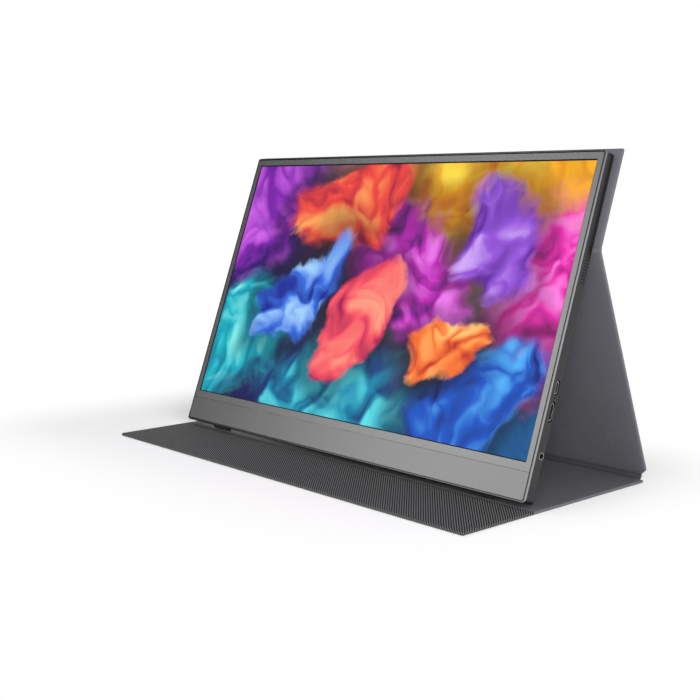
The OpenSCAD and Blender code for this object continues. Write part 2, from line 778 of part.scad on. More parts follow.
module panel_lining() {
    color([0.34, 0.34, 0.35]) on_upper() difference() {
        translate([0, cove_low, 0]) lining_layer(cover_w, upper_h, sharp, sharp);
        fold_cove();
    }
}

module cover_magnets() { color("lightsteelblue") on_monitor() magnets(fold_depth - board_t / 2, board_t); }

module heel_layer(r0, r1) { // bend of cloth about the heel's axis, from the base to the leg's toe
    w = cover_w - 2 * heel_inset;
    first = 2;                            // degrees kept clear of the base
    last = heel_turn - 2 * asin((panel_t / 2 + gap) / (2 * heel_r));
    translate([-w / 2, heel_y, heel_z]) rotate([0, 90, 0]) rotate([0, 0, first])
        rotate_extrude(angle = last - first) translate([r0, 0]) square([r1 - r0, w]);
}

module heel_skin() { color([0.27, 0.27, 0.28]) heel_layer(heel_r, heel_r + 0.6); }

module heel_lining() { color([0.34, 0.34, 0.35]) heel_layer(heel_r - cloth_t, heel_r); }

rear_housing();
front_bezel();
chin_plate();
bezel_gasket();
lcd_glass();
optical_films();
light_guide();
reflector_sheet();
led_strip();
panel_frame();
foam_pads();
driver_board();
panel_ribbons();
main_board();
board_parts();
shield_can();
display_cable();
insulation_sheet();
mini_hdmi_port();
micro_usb_port();
headphone_jack();
status_light();
side_board();
usb_c_port();
button_switches();
side_cable();
speaker_right();
speaker_left();
speaker_leads();
board_screws();
housing_magnets();
rubber_feet();
power_button();
menu_rocker();
panel_skin();
panel_board();
panel_lining();
cover_magnets();
leg_skin();
leg_board();
leg_lining();
fold_strip();
heel_skin();
heel_lining();
base_skin();
base_board();
base_lining();
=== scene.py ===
import json
import math

import bmesh
import bpy
from mathutils import Matrix, Vector


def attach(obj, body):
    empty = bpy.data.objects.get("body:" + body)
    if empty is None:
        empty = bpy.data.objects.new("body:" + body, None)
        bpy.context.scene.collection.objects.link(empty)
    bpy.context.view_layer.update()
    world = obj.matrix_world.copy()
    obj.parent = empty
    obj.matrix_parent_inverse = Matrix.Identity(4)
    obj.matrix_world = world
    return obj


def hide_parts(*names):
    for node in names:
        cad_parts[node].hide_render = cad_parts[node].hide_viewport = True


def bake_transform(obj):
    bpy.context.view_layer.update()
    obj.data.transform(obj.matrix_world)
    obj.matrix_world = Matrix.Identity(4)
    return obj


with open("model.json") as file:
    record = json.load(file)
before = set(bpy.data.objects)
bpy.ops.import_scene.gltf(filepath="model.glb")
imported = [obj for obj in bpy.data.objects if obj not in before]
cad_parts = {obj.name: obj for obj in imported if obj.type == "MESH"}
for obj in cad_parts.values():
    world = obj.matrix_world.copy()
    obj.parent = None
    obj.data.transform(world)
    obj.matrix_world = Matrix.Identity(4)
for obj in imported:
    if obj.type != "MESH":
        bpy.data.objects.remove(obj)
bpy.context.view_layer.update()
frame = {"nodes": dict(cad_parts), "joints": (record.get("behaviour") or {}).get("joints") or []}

nodes = frame["nodes"]
joints = {joint["name"]: joint for joint in frame["joints"]}
mm = 0.001

# Driving sizes, as in part.scad, in millimetres and degrees.
size = {
    "tilt": 70.4, "monitorH": 224.5, "screenW": 344.2, "screenH": 193.6,
    "bezelTop": 6.4, "glassDepth": 0.75, "foldDepth": 10.3,
    "coverW": 365, "panelT": 2, "heelInset": 4.3, "heelCut": 3.8, "panelTop": 228.5, "stripL": 2.5,
    "frontY": -31.512042, "frontZ": 6.352801, "baseFront": -90.012042, "baseRear": 85.469172,
    "heelR": 3.14388, "legL": 160.524422, "legRise": 69.400549, "coveLow": 162.63,
}
toe = Vector(joints["leg_tilt"]["pos_m"])
heel = Vector(joints["cover_unfold"]["pos_m"])
fold = Vector(joints["monitor_fold"]["pos_m"])
tilt = math.radians(size["tilt"])
monitorUp = Vector((0, math.cos(tilt), math.sin(tilt)))


def isVector(value):
    return value.wide() if isinstance(value, Socket) else isinstance(value, (tuple, Vector))


class Socket:  # one output of a node, with the operators that the patterns use
    def __init__(self, tree, out):
        self.tree, self.out = tree, out

    def wide(self):
        return self.out.type in ("VECTOR", "RGBA")

    def calc(self, operation, *others, swap=False):
        values = [self, *others]
        if swap:
            values.reverse()
        vectors = [isVector(value) for value in values]
        if operation == "MULTIPLY" and any(vectors) and not all(vectors):
            values.sort(key=lambda value: not isVector(value))
            return self.tree.add(
                "ShaderNodeVectorMath", {"operation": "SCALE"}, {0: values[0], "Scale": values[1]})
        kind = "ShaderNodeVectorMath" if any(vectors) else "ShaderNodeMath"
        return self.tree.add(kind, {"operation": operation}, dict(enumerate(values)))

    def __add__(self, other):
        return self.calc("ADD", other)

    def __radd__(self, other):
        return self.calc("ADD", other, swap=True)

    def __sub__(self, other):
        return self.calc("SUBTRACT", other)

    def __rsub__(self, other):
        return self.calc("SUBTRACT", other, swap=True)

    def __mul__(self, other):
        return self.calc("MULTIPLY", other)

    def __truediv__(self, other):
        return self.calc("DIVIDE", other)

    def __pow__(self, other):
        return self.calc("POWER", other)

    def __abs__(self):
        return self.calc("ABSOLUTE")

    def floor(self):
        return self.calc("FLOOR")

    def fract(self):
        return self.calc("FRACT")

    def sine(self):
        return self.calc("SINE")

    def low(self, other):
        return self.calc("MINIMUM", other)

    def high(self, other):
        return self.calc("MAXIMUM", other)

    def dot(self, vector):
        return self.tree.add(
            "ShaderNodeVectorMath", {"operation": "DOT_PRODUCT"}, {0: self, 1: vector}, "Value")

    def length(self):
        return self.tree.add(
            "ShaderNodeVectorMath", {"operation": "LENGTH"}, {0: self}, "Value")

    def step(self, start, end):  # smooth from 0 at start to 1 at end
        return self.tree.add(
            "ShaderNodeMapRange", {"interpolation_type": "SMOOTHSTEP"},
            {"Value": self, "From Min": start, "From Max": end},
        )

    def span(self, low, high):  # 0 to 1 becomes low to high
        return self * (high - low) + low


class Tree:  # adds nodes; a value that is a Socket is linked, any other is set
    def __init__(self, nodeTree):
        self.nodeTree = nodeTree

    def add(self, kind, settings, values=None, output=0):
        node = self.nodeTree.nodes.new(kind)
        for name, value in settings.items():
            if name == "stops":
                ramp = node.color_ramp
                while len(ramp.elements) < len(value):
                    ramp.elements.new(0.5)
                for element, (place, colour) in zip(ramp.elements, value):
                    element.position, element.color = place, (*colour, 1)
            else:
                setattr(node, name, value)
        for key, value in (values or {}).items():
            if isinstance(value, Socket):
                self.nodeTree.links.new(value.out, node.inputs[key])
            else:
                node.inputs[key].default_value = value
        return Socket(self, node.outputs[output])

    def mix(self, factor, first, second, blend="MIX"):  # two colours: a Mix node's inputs 6 and 7
        first, second = (
            value if isinstance(value, Socket) else (*value, 1) for value in (first, second))
        settings = {"data_type": "RGBA", "blend_type": blend}
        return self.add("ShaderNodeMix", settings, {0: factor, 6: first, 7: second}, 2)

    def vector(self, x, y, z=0.0):
        return self.add("ShaderNodeCombineXYZ", {}, {0: x, 1: y, 2: z})

    def noise(self, vector, scale, detail=2.0, rough=0.5, distortion=0.0, output=0):
        return self.add("ShaderNodeTexNoise", {}, {
            "Vector": vector, "Scale": scale, "Detail": detail, "Roughness": rough,
            "Distortion": distortion,
        }, output)

    def shaded(self, colour, tone):  # a colour made darker or lighter
        return self.mix(1.0, colour, self.vector(tone, tone, tone), "MULTIPLY")

    def drawn(self, vector, factor):  # a pattern drawn out along x
        return self.add("ShaderNodeMapping", {}, {"Vector": vector, "Scale": (1, factor, factor)})


def linear(*srgb):  # a colour as read from 0 to 255, for a shader
    values = srgb if len(srgb) == 3 else srgb * 3
    return tuple(
        v / 255 / 12.92 if v <= 10.3 else ((v / 255 + 0.055) / 1.055) ** 2.4 for v in values)


class Finish(Tree):  # a material with one Principled shader
    def __init__(self, name, **plain):
        self.material = bpy.data.materials.new(name)
        self.material.use_nodes = True
        super().__init__(self.material.node_tree)
        self.nodeTree.nodes.clear()
        self.shader = self.nodeTree.nodes.new("ShaderNodeBsdfPrincipled")
        self.output = self.nodeTree.nodes.new("ShaderNodeOutputMaterial")
        self.nodeTree.links.new(self.shader.outputs[0], self.output.inputs[0])
        for key, value in plain.items():
            self.set(key, value)

    def set(self, key, value):
        socket = self.shader.inputs[key.replace("_", " ")]
        if isinstance(value, Socket):
            self.nodeTree.links.new(value.out, socket)
        elif isinstance(value, tuple) and len(value) == 3:
            socket.default_value = (*value, 1)
        else:
            socket.default_value = value

    def bump(self, height, depth, strength=1.0):  # depth in metres
        self.set("Normal", self.add("ShaderNodeBump", {}, {
            "Height": height, "Distance": depth, "Strength": strength}))

    def place(self):  # position on the piece, in metres
        return self.add("ShaderNodeTexCoord", {}, {}, "Object")

    def flat(self):  # the piece's own UV map, in metres
        return self.add("ShaderNodeUVMap", {"uv_map": "clothMap"})


def satinPaint(name, colour, rough=0.33, grain=1.0, **plain):  # fine even paint
    finish = Finish(name, **{"Metallic": 0.85, **plain})
    place = finish.place()
    mottle = finish.noise(place, 45, 3, 0.55)
    speck = finish.noise(place, 4200, 2, 0.6)
    tone = mottle.span(0.94, 1.06) * speck.span(0.86, 1.14)
    finish.set("Base Color", finish.shaded(colour, tone))
    finish.set("Roughness", mottle.span(rough - 0.03, rough + 0.03) + speck.span(-0.02, 0.02))
    finish.bump(speck + mottle * 0.4, 0.000012 * grain, 0.5)
    return finish.material


def weave(finish, uv, settings):  # threads crossing at 45 degrees: their height, and a colour taken from that height, the cloth's thread pattern with painted highlight on the crests and painted shade in the gaps
    u, v = uv.dot((1, 0, 0)), uv.dot((0, 1, 0))
    wobble = finish.noise(uv, 160, 2, 0.5) * cover["wobble"]
    pitch = settings["pitch"] * math.sqrt(2)
    a, b = (u + v + wobble) / pitch, (u - v + wobble) / pitch
    over = ((a.floor() + b.floor()) * 0.5).fract() * 2  # 0 or 1 in turn: under or over
    crestA, crestB = ((1 - abs(way.fract() - 0.5) * 2).step(*settings["crest"]) for way in (a, b))
    across = crestB * settings["cross"] + (1 - settings["cross"])
    lift = crestA * across * over.span(cover["underLift"], 1.0)
    # the colour follows the lift: painted highlight on the crests, painted shade in the gaps and on
    # threads that pass under
    return finish.mix(lift, settings["dark"], settings["light"]), lift


def coverCloth(name, settings, rear=None, line=0.0):  # rear is the weave beyond a crease, and the crease gets a painted shade
    finish = Finish(name, Metallic=0.0)
    finish.set("Specular IOR Level", settings["gloss"])
    uv = finish.flat()
    tone, lift = weave(finish, uv, settings)
    if rear:
        v = uv.dot((0, 1, 0))
        beyond = v.step(*(line + edge * mm for edge in cover["crease"]["change"]))
        rearTone, rearLift = weave(finish, uv, rear)
        # painted shade along the crease: the colour goes half way to the dark thread there
        crease = 1 - abs(v - line).step(*(edge * mm for edge in cover["crease"]["shade"]))
        tone = finish.mix(crease * 0.5, finish.mix(beyond, tone, rearTone), settings["dark"])
        lift = (lift * (1 - beyond) + rearLift * beyond) * (1 - crease)
    fibre = finish.noise(uv, 9000, 2, 0.6)
    wear = finish.noise(uv, 14, 4, 0.6)
    shade = wear.span(0.9, 1.1) * fibre.span(0.86, 1.14)
    finish.set("Base Color", finish.shaded(tone, shade))
    finish.set("Roughness", fibre.span(settings["rough"] - 0.06, settings["rough"] + 0.12))
    finish.bump(lift + fibre * 0.18, settings["relief"], 0.9)
    return finish.material


def brightMetal(name, colour, rough, streak=0.0):  # plated, or brushed along x
    finish = Finish(name, Metallic=1.0)
    place = finish.place()
    marks = finish.noise(finish.drawn(place, 1 + streak), 900, 3, 0.6)
    stain = finish.noise(place, 120, 2, 0.5)
    tone = stain.span(0.88, 1.08)
    finish.set("Base Color", finish.shaded(colour, tone))
    finish.set("Roughness", marks.span(rough * 0.7, rough * 1.4))
    finish.bump(marks, 0.000008, 0.4)
    return finish.material


def socketMetal(name):  # nickel at the mouth; black inside, the tongue's own black plastic and painted shade on the metal deeper in
    mouth = (0.1763, 0.1768)  # where it turns, from the monitor's middle
    finish = Finish(name)
    place = finish.place()
    x = abs(place.dot((1, 0, 0)))
    # inner: all that lies deeper than the mouth, made near black, partly painted shade in the
    # socket
    inner = 1 - x.step(*mouth)
    stain = finish.noise(place, 300, 2, 0.5).span(0.8, 1.1)
    colour = finish.mix(inner, (0.46, 0.45, 0.43), (0.006, 0.006, 0.006))
    finish.set("Base Color", finish.shaded(colour, stain))
    finish.set("Metallic", 1 - inner * 0.8)
    finish.set("Roughness", finish.noise(place, 900, 2, 0.5).span(0.14, 0.26))
    finish.bump(finish.noise(place, 1500, 2, 0.5), 0.00001, 0.4)
    return finish.material


def mouldedPlastic(name, colour, rough):
    finish = Finish(name)
    place = finish.place()
    grain = finish.noise(place, 2600, 2, 0.5)
    mottle = finish.noise(place, 60, 2, 0.5)
    tone = mottle.span(0.88, 1.12)
    finish.set("Base Color", finish.shaded(colour, tone))
    finish.set("Roughness", grain.span(rough - 0.06, rough + 0.06))
    finish.bump(grain, 0.00001, 0.4)
    return finish.material


def circuitBoard(name):  # solder mask over copper tracks, with tinned pads
    finish = Finish(name, Metallic=0.0)
    place = finish.place()
    x, up = place.dot((1, 0, 0)), place.dot(monitorUp)
    lane = up * 700  # tracks per metre
    wander = finish.noise(finish.vector(x * 60, lane.floor() * 0.37), 1.0, 0).span(-0.6, 0.6)
    track = abs((lane + wander).fract() - 0.5)
    copper = 1 - track.step(0.12, 0.2)
    cell = finish.add("ShaderNodeTexVoronoi", {}, {"Vector": finish.vector(x, up), "Scale": 260})
    pad = 1 - cell.step(0.16, 0.22)
    colour = finish.mix(copper, (0.012, 0.09, 0.035), (0.03, 0.17, 0.06))
    finish.set("Base Color", finish.mix(pad, colour, (0.62, 0.6, 0.55)))
    finish.set("Metallic", pad * 0.9)
    finish.set("Roughness", 0.42 - pad * 0.12)
    finish.bump(copper * 0.6 + pad, 0.00003, 0.6)
    return finish.material


def fibreBoard(name):  # pressed fibres along the board
    finish = Finish(name, Roughness=0.85)
    place = finish.place()
    strands = finish.noise(finish.drawn(place, 5), 400, 4, 0.7)
    finish.set("Base Color", finish.mix(strands, (0.2, 0.14, 0.08), (0.42, 0.32, 0.2)))
    finish.bump(strands, 0.00005, 0.5)
    return finish.material


def layeredFilm(name, colour, rough, **plain):  # optical sheets and cable films
    finish = Finish(name, **plain)
    place = finish.place()
    haze = finish.noise(place, 30, 3, 0.5)
    lines = (place.dot((1, 0, 0)) * 9000).sine()
    tone = haze.span(0.95, 1.05)
    finish.set("Base Color", finish.shaded(colour, tone))
    finish.set("Roughness", haze.span(rough, rough + 0.1))
    finish.bump(lines, 0.000004, 0.3)
    return finish.material


# Picture on the screen: plumes of coloured smoke in front of each other, measured across and up.
picture = {
    "across": 16, "up": 9, "border": 0.9 * mm, "light": (-0.2, 0.27, 0.0),
    "corners": [(44, 14, 92), (250, 170, 16), (14, 20, 84), (10, 84, 140)],
    "sway": {"scale": 0.22, "reach": 3.4, "drag": 3.0},  # the bend of a whole plume
    "curl": {"scale": 0.7, "reach": 1.7, "fold": 0.8},
    "wisp": {"scale": 2.2, "reach": 0.3},  # its frayed edge
    "wide": {"scale": 0.36, "lift": 1.6}, "small": {"scale": 0.85, "lift": 0.4},  # billows
    "relief": {"ground": 0.4, "height": 0.55, "facing": 1.1, "edge": 0.2},
    "veil": {"count": 2.6, "thin": 7.0, "share": 0.28},  # bright threads between sheets of smoke
    "rim": 0.5, "shadow": 0.5,
    "plumes": [  # centre, half sizes, turn, dark, middle and light colour, seed, softness
        ((11.3, 8.4), (4.4, 2.9), 12, (226, 96, 20), (255, 172, 8), (255, 224, 70), 2.1, 0.75),
        ((1.2, 7.2), (4.0, 2.8), 60, (60, 12, 116), (128, 30, 174), (206, 96, 232), 1.3, 0.6),
        ((7.9, 0.7), (5.2, 2.0), -8, (4, 60, 120), (8, 142, 176), (92, 224, 232), 9.1, 0.55),
        ((15.6, 5.0), (3.3, 3.9), 10, (150, 14, 120), (240, 36, 178), (255, 128, 226), 7.9, 0.5),
        ((1.4, 2.4), (3.2, 2.4), 35, (0, 90, 130), (12, 178, 196), (130, 240, 236), 10.6, 0.5),
        ((13.6, 1.2), (3.6, 1.9), 28, (10, 18, 96), (16, 84, 196), (80, 176, 250), 4.4, 0.4),
        ((9.7, 5.3), (3.5, 2.4), -30, (84, 10, 110), (190, 32, 182), (240, 120, 240), 12.2, 0.35),
        ((6.0, 7.5), (3.3, 1.8), 24, (150, 16, 60), (240, 70, 60), (255, 170, 90), 6.7, 0.3),
        ((4.4, 4.2), (3.0, 1.6), 48, (20, 40, 150), (52, 110, 224), (160, 208, 255), 15.3, 0.24),
        ((13.0, 6.7), (2.4, 1.6), -50, (90, 26, 150), (150, 84, 220), (226, 186, 255), 16.9, 0.4),
        ((7.4, 3.4), (2.2, 1.5), 70, (160, 20, 80), (246, 74, 96), (255, 160, 130), 13.8, 0.22),
        ((11.5, 3.0), (2.0, 1.3), 20, (190, 40, 30), (252, 120, 44), (255, 206, 120), 5.2, 0.22),
    ],
}


def drift(finish, place, scale, detail, rough, distortion=0.0):  # a wandering vector about zero
    return finish.noise(place, scale, detail, rough, distortion, "Color") - (0.5, 0.5, 0.5)


def plume(finish, flat, colour, spec):
    centre, half, turn, *colours, seed, soft = spec
    dark, middle, light = (linear(*shade) for shade in colours)
    swayed, curled, wisp, veil = (picture[k] for k in ("sway", "curl", "wisp", "veil"))
    shift = (seed * 3.1, seed * 1.7, seed)
    c, s = math.cos(math.radians(turn)), math.sin(math.radians(turn))
    own = flat + shift
    sway = drift(finish, own, swayed["scale"], 1, 0.4)
    curl = drift(finish, own + sway * swayed["drag"], curled["scale"], 2, 0.4)
    warped = flat + sway * swayed["reach"] + curl * curled["reach"]
    away = warped - (*centre, 0.0)
    reach = finish.vector(away.dot((c, s, 0)) / half[0], away.dot((-s, c, 0)) / half[1]).length()
    fray = finish.noise(warped + shift, wisp["scale"], 3, 0.6) - 0.5
    mask = 1 - (reach + fray * wisp["reach"]).step(1 - soft * 0.8, 1.0)

    def billow(place, detail, rough, kind):  # rounded, with creases between
        noise = finish.noise(place, picture[kind]["scale"], detail, rough)
        return abs(noise * 2 - 1) * picture[kind]["lift"]

    def lobes(place):
        folded = place + curl * curled["fold"]
        return billow(place, 1, 0.3, "wide") + billow(folded, 0, 0.5, "small")

    form = picture["relief"]
    height = lobes(warped + shift)
    toLight = tuple(a + b for a, b in zip(shift, picture["light"]))
    facing = height - lobes(warped + toLight)
    relief = form["ground"] + height * form["height"] + facing * form["facing"]
    relief = (relief - reach.step(0.3, 1.0) * form["edge"]).low(1.0).high(0.0)
    stops = [(0.1, dark), (0.52, middle), (0.98, light)]
    body = finish.add("ShaderNodeValToRGB", {"stops": stops}, {0: relief})
    thread = (abs((height * veil["count"]).fract() - 0.5) * 2) ** veil["thin"] * relief
    body = finish.mix(thread * veil["share"], body, light)
    rim = reach.step(0.84, 0.97) * (1 - soft) * relief.step(0.3, 0.8)
    body = finish.mix(rim * picture["rim"], body, light)
    shadow = reach.step(1.0, 1.45).span(1 - picture["shadow"], 1.0)  # darker behind a firm edge
    behind = finish.shaded(colour, shadow.high(float(soft > 0.45)))
    return finish.mix(mask, behind, body)


def screenGlass(name):  # the lit picture behind the glass, with a black border
    finish = Finish(name, Roughness=0.4, Metallic=0.0)
    finish.set("Specular IOR Level", 0.06)
    middleH = size["monitorH"] - size["bezelTop"] - size["screenH"] / 2
    offset = finish.place() - tuple(monitorPoint(0, middleH, size["glassDepth"]))
    u, v = offset.dot((1, 0, 0)), offset.dot(monitorUp)
    unit = size["screenW"] * mm / picture["across"]
    flat = finish.vector(u / unit + picture["across"] / 2, v / unit + picture["up"] / 2)
    wide = flat + drift(finish, flat, 0.25, 3, 0.5, 0.8) * 5.0
    right, high = wide.dot((1, 0, 0)).step(2.0, 14.0), wide.dot((0, 1, 0)).step(1.5, 8.5)
    topLeft, topRight, lowLeft, lowRight = (linear(*corner) for corner in picture["corners"])
    colour = finish.mix(
        high, finish.mix(right, lowLeft, lowRight), finish.mix(right, topLeft, topRight))
    haze = finish.noise(wide, 0.5, 5, 0.55, 0.5).step(0.3, 0.75)
    colour = finish.shaded(colour, haze.span(0.7, 1.3))
    for spec in picture["plumes"]:
        colour = plume(finish, flat, colour, spec)
    border = picture["border"]
    litW, litH = (
        1 - abs(way).step(full / 2 * mm - border, full / 2 * mm - border * 0.8)
        for way, full in ((u, size["screenW"]), (v, size["screenH"])))
    finish.set("Base Color", (0.004, 0.004, 0.005))
    finish.set("Emission Color", finish.mix(litW * litH, (0.0, 0.0, 0.0), colour))
    finish.set("Emission Strength", 1.0)
    return finish.material


def slope(origin, angle):  # a frame whose y runs up at an angle, and z out of the face
    c, s = math.cos(angle), math.sin(angle)
    return Matrix(((1, 0, 0, origin[0]), (0, c, -s, origin[1]), (0, s, c, origin[2]), (0, 0, 0, 1)))


monitorPlace = slope(Vector((0, size["frontY"], size["frontZ"])) * mm, tilt)
legPlace = slope(toe, math.radians(180 - size["legRise"]))
basePlace = slope(Vector((0, size["baseFront"], size["panelT"] / 2)) * mm, 0)
upperPlace = monitorPlace @ Matrix.Translation((0, 0, -size["foldDepth"] * mm))


def monitorPoint(x, h, depth):
    return monitorPlace @ (Vector((x, h, -depth)) * mm)


def addMesh(name, verts, faces, uvs=None):
    mesh = bpy.data.meshes.new(name)
    mesh.from_pydata([tuple(v) for v in verts], [], faces)
    mesh.update()
    if uvs:
        layer = mesh.uv_layers.new(name="clothMap")
        for loop in mesh.loops:
            layer.data[loop.index].uv = uvs[loop.vertex_index]
    piece = bpy.data.objects.new(name, mesh)
    bpy.context.scene.collection.objects.link(piece)
    return piece


def dress(piece, material):  # instead of the record's plain materials
    piece.data.materials.clear()
    piece.data.materials.append(material)


def smooth(piece, angle):
    piece.data.polygons.foreach_set("use_smooth", [True] * len(piece.data.polygons))
    piece.data.set_sharp_from_angle(angle=math.radians(angle))


def faceOutward(piece):  # joins what lies together, and turns the faces outward
    work = bmesh.new()
    work.from_mesh(piece.data)
    bmesh.ops.remove_doubles(work, verts=work.verts, dist=1e-7)
    bmesh.ops.recalc_face_normals(work, faces=work.faces)
    work.to_mesh(piece.data)
    work.free()


def insetOutline(corners, inset, radius, steps=5):
    # a convex outline, anticlockwise, moved in and given round corners; millimetres
    count = len(corners)
    lines, points = [], []
    for i in range(count):
        p, q = Vector(corners[i]), Vector(corners[(i + 1) % count])
        along = (q - p).normalized()
        inward = Vector((-along.y, along.x))
        lines.append((p + inward * inset, along, inward))
    for i in range(count):
        (p, a, inA), (q, b, _) = lines[i - 1], lines[i]
        corner = p + a * ((q - p).cross(b) / a.cross(b))
        turn = math.acos(max(-1, min(1, a.dot(b))))
        r = max(radius - inset, cover["leastR"])
        start = corner - a * (r * math.tan(turn / 2))
        middle = start + inA * r
        arm = start - middle
        for k in range(steps + 1):
            c, s = math.cos(turn * k / steps), math.sin(turn * k / steps)
            points.append(middle + Vector((arm.x * c - arm.y * s, arm.x * s + arm.y * c)))
    return points


def creased(ring, crease):  # three more points on each long side, where a crease crosses
    corner = len(ring) // 4
    right, left = ring[corner * 2 - 1].x, ring[-1].x
    rows = [crease["at"] + crease["half"] * side for side in (-1, 0, 1)]
    return (ring[:corner * 2] + [Vector((right, y)) for y in rows]
            + ring[corner * 2:] + [Vector((left, y)) for y in reversed(rows)])


def shell(name, corners, profile, place, crease=None):
    # a closed plate from rings of (inset, height), bottom to top
    radius = cover["cornerR"]
    verts, uvs, faces = [], [], []
    wraps = [profile[-1][0]]  # the inset of each ring if the cloth lay flat
    for after, before in zip(reversed(profile[1:]), reversed(profile[:-1])):
        wraps.append(wraps[-1] - math.dist(after, before))
    wraps.reverse()
    for (inset, height), wrap in zip(profile, wraps):
        ring, flatRing = insetOutline(corners, inset, radius), insetOutline(corners, wrap, radius)
        if crease:
            ring, flatRing = creased(ring, crease), creased(flatRing, crease)
        ringSize = len(ring)
        for point, flat in zip(ring, flatRing):
            inCrease = crease and abs(point.y - crease["at"]) < 0.01
            level = min(height, crease["floor"]) if inCrease else height
            verts.append(place @ (Vector((point.x, point.y, level)) * mm))
            uvs.append((flat.x * mm, flat.y * mm))
    for i in range(len(profile) - 1):
        low, high = i * ringSize, (i + 1) * ringSize
        for k in range(ringSize):
            n = (k + 1) % ringSize
            faces.append((low + k, low + n, high + n, high + k))
    faces.append(tuple(reversed(range(ringSize))))
    first, last = (len(profile) - 1) * ringSize, len(profile) * ringSize - 1
    if crease:
        turn = first + (ringSize - 6) // 2  # the first of three points on the right side
        faces += [(last, *range(first, turn + 1)), (turn, turn + 1, last - 1, last),
                  (turn + 1, turn + 2, last - 2, last - 1), tuple(range(turn + 2, last - 1))]
    else:
        faces.append(tuple(range(first, last + 1)))
    piece = addMesh(name, verts, faces, uvs)
    faceOutward(piece)
    smooth(piece, 20 if crease else 50)
    return piece


cover = {  # millimetres, but for the cloths
    "hem": 1.1, "hemRise": 0.86, "turnIn": 8, "clothGap": 0.02, "liningRise": 0.97,
    "boardEdge": 4.0, "cornerR": 1.0, "leastR": 0.25,
    # shade: where the painted shade along the crease fades out, from its middle
    "crease": {"at": 62, "half": 0.8, "floor": 0.56, "change": (-0.1, 0.3), "shade": (0.2, 1.1)},
    "legStart": -0.9, "legPast": 1.6,  # the leg's cloth runs from the toe to past the board
    "wobble": 0.22 * mm, "underLift": 0.88,  # of the threads; the lower lift of the threads that pass under also paints them darker, a painted shade
    "cloths": {
        "base": {
            "pitch": 1.45 * mm, "dark": linear(25), "light": linear(129, 129, 130),
            "cross": 0.5, "crest": (0.28, 0.9), "gloss": 0.05, "rough": 0.6, "relief": 0.0001,
        },
        "rear": {
            "pitch": 1.05 * mm, "dark": linear(84, 83, 87), "light": linear(120, 119, 124),
            "cross": 0.7, "crest": (0.1, 0.9),
        },
        "leg": {
            "pitch": 1.15 * mm, "dark": linear(77, 76, 81), "light": linear(126, 125, 132),
            "cross": 0.75, "crest": (0.1, 0.9), "gloss": 0.1, "rough": 0.66, "relief": 0.00006,
        },
        # the heel's cloth is darker than the leg's: a painted shade in the fold between the base
        # and the leg
        "heel": {
            "pitch": 0.8 * mm, "dark": linear(58, 57, 61), "light": linear(84, 83, 88),
            "cross": 0.8, "crest": (0.1, 0.9), "gloss": 0.05, "rough": 0.7, "relief": 0.00004,
        },
    },
}


def skinProfile():  # the outer cloth: round edges, a turned hem, and a bed for the lining
    hem, rise = cover["hem"], cover["hemRise"]
    return [
        (3.2, -1.0), (0.75, -1.0), (0.32, -0.9), (0.08, -0.62), (0.0, -0.2),
        (0.06, 0.28), (0.3, 0.62), (0.7, rise),
        (hem - 0.3, rise), (hem - 0.04, rise - 0.01), (hem - 0.01, 0.6),
        (hem + 0.5, 0.45), (hem + 3, 0.45),
    ]


def liningProfile():  # the inner cloth, set in from the hem, a little higher over the board
    edge = cover["hem"] + cover["clothGap"]
    board, top = cover["boardEdge"], cover["liningRise"]
    return [
        (edge + 1.5, 0.5), (edge + 0.1, 0.5), (edge, 0.56), (edge, 0.82), (edge + 0.04, 0.85),
        (edge + 1.0, 0.87), (board + 0.3, 0.9), (board + 1.4, top), (board + 1.9, top),
    ]


def panelCorners(low, high, cutLow=None):
    half = size["coverW"] / 2
    if cutLow:
        return [(-half + cutLow[0], low), (half - cutLow[0], low), (half, low + cutLow[1]),
                (half, high), (-half, high), (-half, low + cutLow[1])]
    return [(-half, low), (half, low), (half, high), (-half, high)]


bend = {  # millimetres, but for the turns
    "columns": 24,
    "foldReach": 3.4, "foldTuck": 6, "foldT": 1.5, "foldSteps": 16,
    "heelT": 1.05, "heelGap": 0.05, "heelMeet": 0.86,  # the share of the turn where its parts meet
    "heelFlat": (8, 3, 2.2, 1.5, 0.7), "toeFlat": (0.9, 1.8, 2.7, 9.5), "heelSteps": (14, 4),
}


def clothBand(name, path, halfW, thick, vStart=0.0):  # cloth along a path of (y, z) in metres
    along = [0.0]
    for p, q in zip(path, path[1:]):
        along.append(along[-1] + (Vector(q) - Vector(p)).length)
    sides = [[], []]
    for i, point in enumerate(path):
        before, after = Vector(path[max(i - 1, 0)]), Vector(path[min(i + 1, len(path) - 1)])
        direction = (after - before).normalized()
        normal = Vector((-direction.y, direction.x))
        for s, side in ((1, sides[0]), (-1, sides[1])):
            side.append((Vector(point), normal * s, along[i]))
    loop = sides[0] + list(reversed(sides[1]))
    verts, uvs, faces = [], [], []
    across = [(0.0, 0.45), (0.12, 0.8), (0.4, 1.0)]
    columns = [(-halfW + a, t) for a, t in across]
    columns += [(-halfW + halfW * 2 * k / bend["columns"], 1.0) for k in range(1, bend["columns"])]
    columns += [(halfW - a, t) for a, t in reversed(across)]
    for x, share in columns:
        for point, normal, length in loop:
            place = point + normal * (thick / 2 * mm * share)
            verts.append((x * mm, place.x, place.y))
            uvs.append((x * mm, vStart + length))
    n = len(loop)
    for i in range(len(columns) - 1):
        for k in range(n):
            m = (k + 1) % n
            faces.append((i * n + k, i * n + m, (i + 1) * n + m, (i + 1) * n + k))
    half = n // 2
    for start, turn in ((0, False), ((len(columns) - 1) * n, True)):
        for k in range(half - 1):
            quad = (start + k, start + k + 1, start + n - 2 - k, start + n - 1 - k)
            faces.append(tuple(reversed(quad)) if turn else quad)
    piece = addMesh(name, verts, faces, uvs)
    faceOutward(piece)
    smooth(piece, 60)
    return piece


def arcPath(centre, radius, start, end, steps):  # angles from straight down, towards +y
    return [(centre[0] + radius * math.sin(a), centre[1] - radius * math.cos(a))
            for a in (start + (end - start) * k / steps for k in range(steps + 1))]


